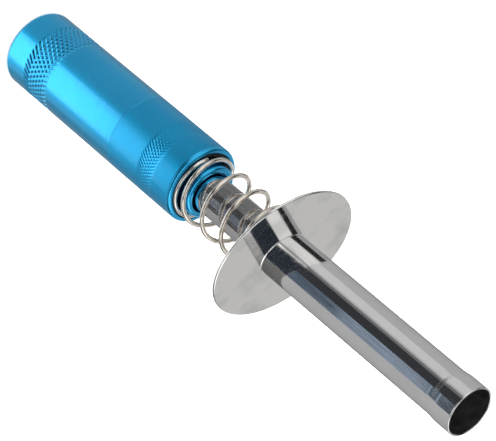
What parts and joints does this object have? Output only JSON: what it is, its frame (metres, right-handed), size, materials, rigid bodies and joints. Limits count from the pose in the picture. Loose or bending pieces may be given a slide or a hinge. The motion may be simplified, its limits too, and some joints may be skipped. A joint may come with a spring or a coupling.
{
  "type": "glow plug igniter",
  "caption": "Spring-loaded hand tool that clips onto an engine's glow plug and heats it: turned aluminium handle with a cell, sprung chromed sleeve, finger disc and inner collet.",
  "frame": {"origin": "centre of the flat tail face that the tool stands on", "axes": "+Z along the tool, from the tail to the mouth of the sleeve; +X and +Y square to it, the finger disc's normal leaning mostly towards +X"},
  "size_m": [0.0418, 0.0421, 0.1752],
  "materials": {
    "blue_anodised": "satin anodised, turned and knurled",
    "chrome_tube": "bright plated",
    "polished_disc": "polished, slightly smudged",
    "spring_wire": "nickel-plated round wire",
    "collet_steel": "turned",
    "brass_parts": "turned",
    "white_nylon": "moulded",
    "fibre_washer": "vulcanised fibre",
    "cell_steel": "nickel-plated",
    "cell_sleeve": "shrunk film"
  },
  "bodies": {
    "rear_half": {"rear_tube": "blue_anodised", "tail_spring": "spring_wire"},
    "cell": {"cell_can": "cell_steel", "cell_cap": "cell_steel", "cell_gasket": "white_nylon", "cell_wrap": "cell_sleeve"},
    "front_half": {"front_housing": "blue_anodised", "contact_plate": "brass_parts", "terminal_nut": "brass_parts", "insulating_washer": "fibre_washer", "rear_insulator": "white_nylon", "inner_tube": "chrome_tube", "retaining_ring": "spring_wire", "centre_rod": "brass_parts", "spacer_bush": "white_nylon", "tip_insulator": "white_nylon", "contact_spring": "spring_wire", "collet": "collet_steel", "return_spring": "spring_wire"},
    "sleeve": {"sleeve_tube": "chrome_tube", "finger_disc": "polished_disc", "solder_ring": "chrome_tube", "rear_bush": "brass_parts", "stop_bush": "brass_parts"},
    "tip": {"contact_tip": "brass_parts"}
  },
  "joints": [
    {"name": "unscrew_lift", "type": "slide", "parent": "rear_half", "child": "cell", "axis": [0, 0, 1], "range_m": [0, 0.006], "deforming": ["tail_spring"]},
    {"name": "unscrew_turn", "type": "hinge", "parent": "cell", "child": "front_half", "pos_m": [0, 0, 0.043], "axis": [0, 0, 1], "range_deg": [0, 1440]},
    {"name": "sleeve_slide", "type": "slide", "parent": "front_half", "child": "sleeve", "axis": [0, 0, 1], "range_m": [-0.0255, 0], "stiffness_N_per_m": 120, "springref_m": 0.02, "deforming": ["return_spring"]},
    {"name": "tip_slide", "type": "slide", "parent": "front_half", "child": "tip", "axis": [0, 0, 1], "range_m": [-0.0015, 0], "stiffness_N_per_m": 400, "springref_m": 0.002, "deforming": ["contact_spring"]}
  ],
  "couplings": [
    {"joint": "unscrew_turn", "follows": "unscrew_lift", "rad_per_m": 4188.8}
  ]
}
